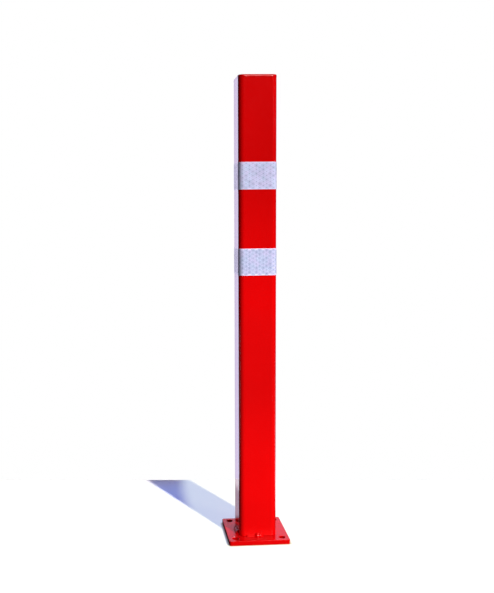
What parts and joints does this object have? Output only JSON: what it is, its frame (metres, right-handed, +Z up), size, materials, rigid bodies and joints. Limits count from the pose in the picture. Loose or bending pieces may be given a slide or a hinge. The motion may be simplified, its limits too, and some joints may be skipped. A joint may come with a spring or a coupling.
{
  "type": "bolt-down bollard",
  "caption": "Square steel bollard with a flush welded cap and bands of reflective tape, stitch welded to a square base plate that bolts down at its corners.",
  "frame": {"origin": "middle of the base plate's underside", "axes": "+Z up along the post; the front face looks along -Y; the tape's ends are lapped on the +Y face"},
  "size_m": [0.13, 0.13, 0.984],
  "materials": {
    "red_paint": "gloss",
    "reflective_tape": "satin, honeycomb pattern"
  },
  "bodies": {
    "root": {"post_tube": "red_paint", "top_cap": "red_paint", "cap_weld": "red_paint", "base_plate": "red_paint", "weld_front": "red_paint", "weld_left": "red_paint", "weld_right": "red_paint", "weld_back": "red_paint", "tape_band_upper": "reflective_tape", "tape_band_lower": "reflective_tape"}
  },
  "joints": []
}
